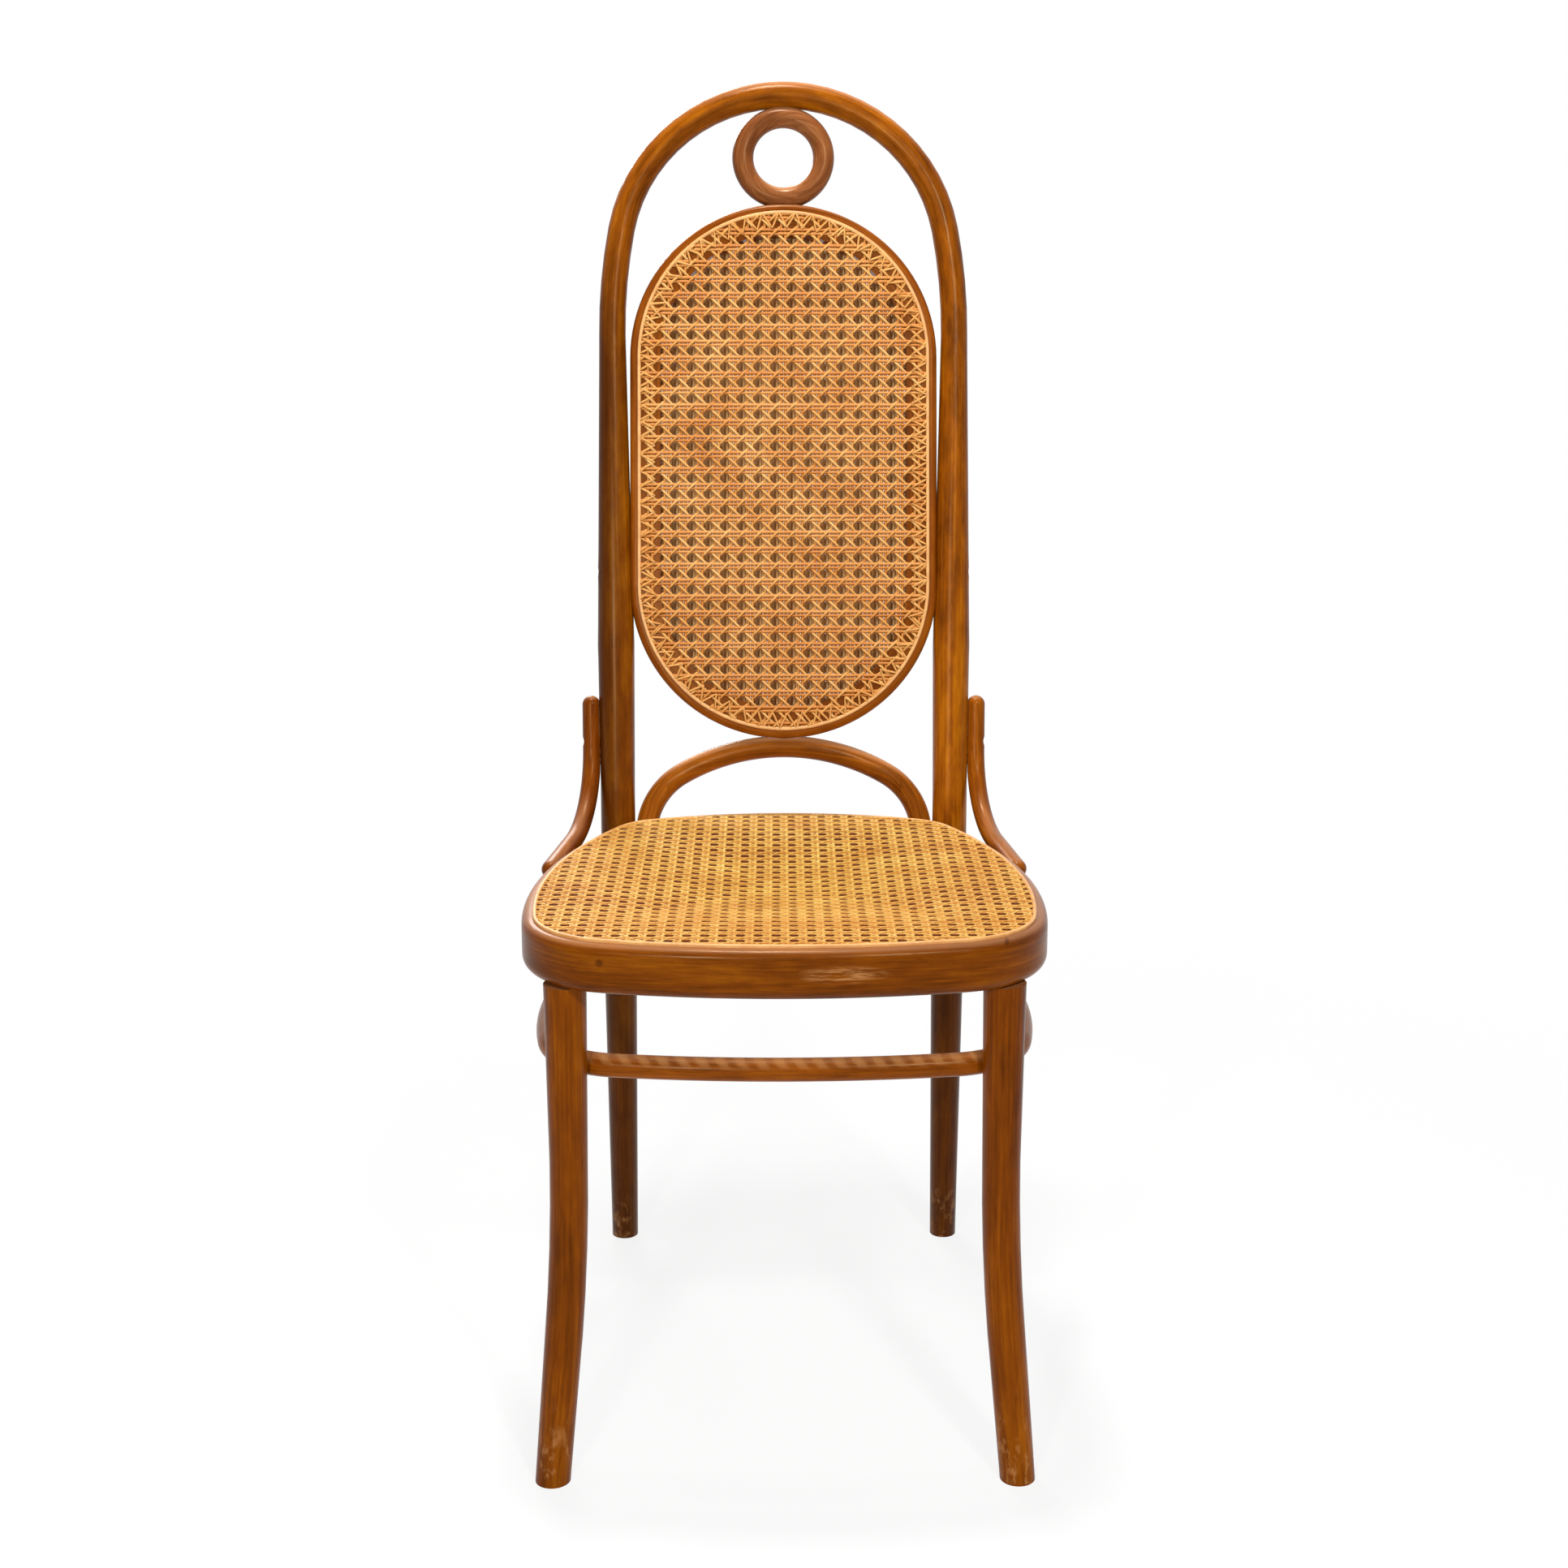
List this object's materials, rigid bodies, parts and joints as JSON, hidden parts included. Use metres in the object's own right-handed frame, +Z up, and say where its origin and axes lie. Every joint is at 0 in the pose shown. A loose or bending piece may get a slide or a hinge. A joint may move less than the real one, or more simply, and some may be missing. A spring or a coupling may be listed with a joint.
{
  "type": "bentwood dining chair",
  "caption": "Bentwood bistro chair with a tall arched back, a cane oval in the back with a small ring above and an arch below, a caned seat, sabre front legs and a leg hoop.",
  "frame": {"origin": "on the floor, in the middle of the chair's width and depth", "axes": "+Z up, the chair faces -Y, +X to the right as seen from the front"},
  "size_m": [0.426, 0.55, 1.117],
  "materials": {
    "beech": "amber brown satin varnish",
    "cane": "woven natural cane",
    "reed": "pale split reed",
    "steel": "dull aged steel"
  },
  "bodies": {
    "root": {"back_bow": "beech", "seat_ring": "beech", "front_leg_left": "beech", "front_leg_right": "beech", "leg_hoop": "beech", "side_brace_left": "beech", "side_brace_right": "beech", "inner_arch": "beech", "back_panel_frame": "beech", "top_ring": "beech", "top_ring_dowels": "beech", "arch_crown_dowel": "beech", "seat_cane": "cane", "back_cane_front": "cane", "back_cane_rear": "cane", "seat_spline": "reed", "back_spline_front": "reed", "back_spline_rear": "reed", "seat_bolts": "steel", "seat_bolt_washers": "steel", "seat_bolt_nuts": "steel", "brace_upper_screws": "steel", "brace_lower_screws": "steel", "leg_hoop_screws": "steel", "panel_side_screws": "steel", "arch_foot_screws": "steel"}
  },
  "joints": []
}
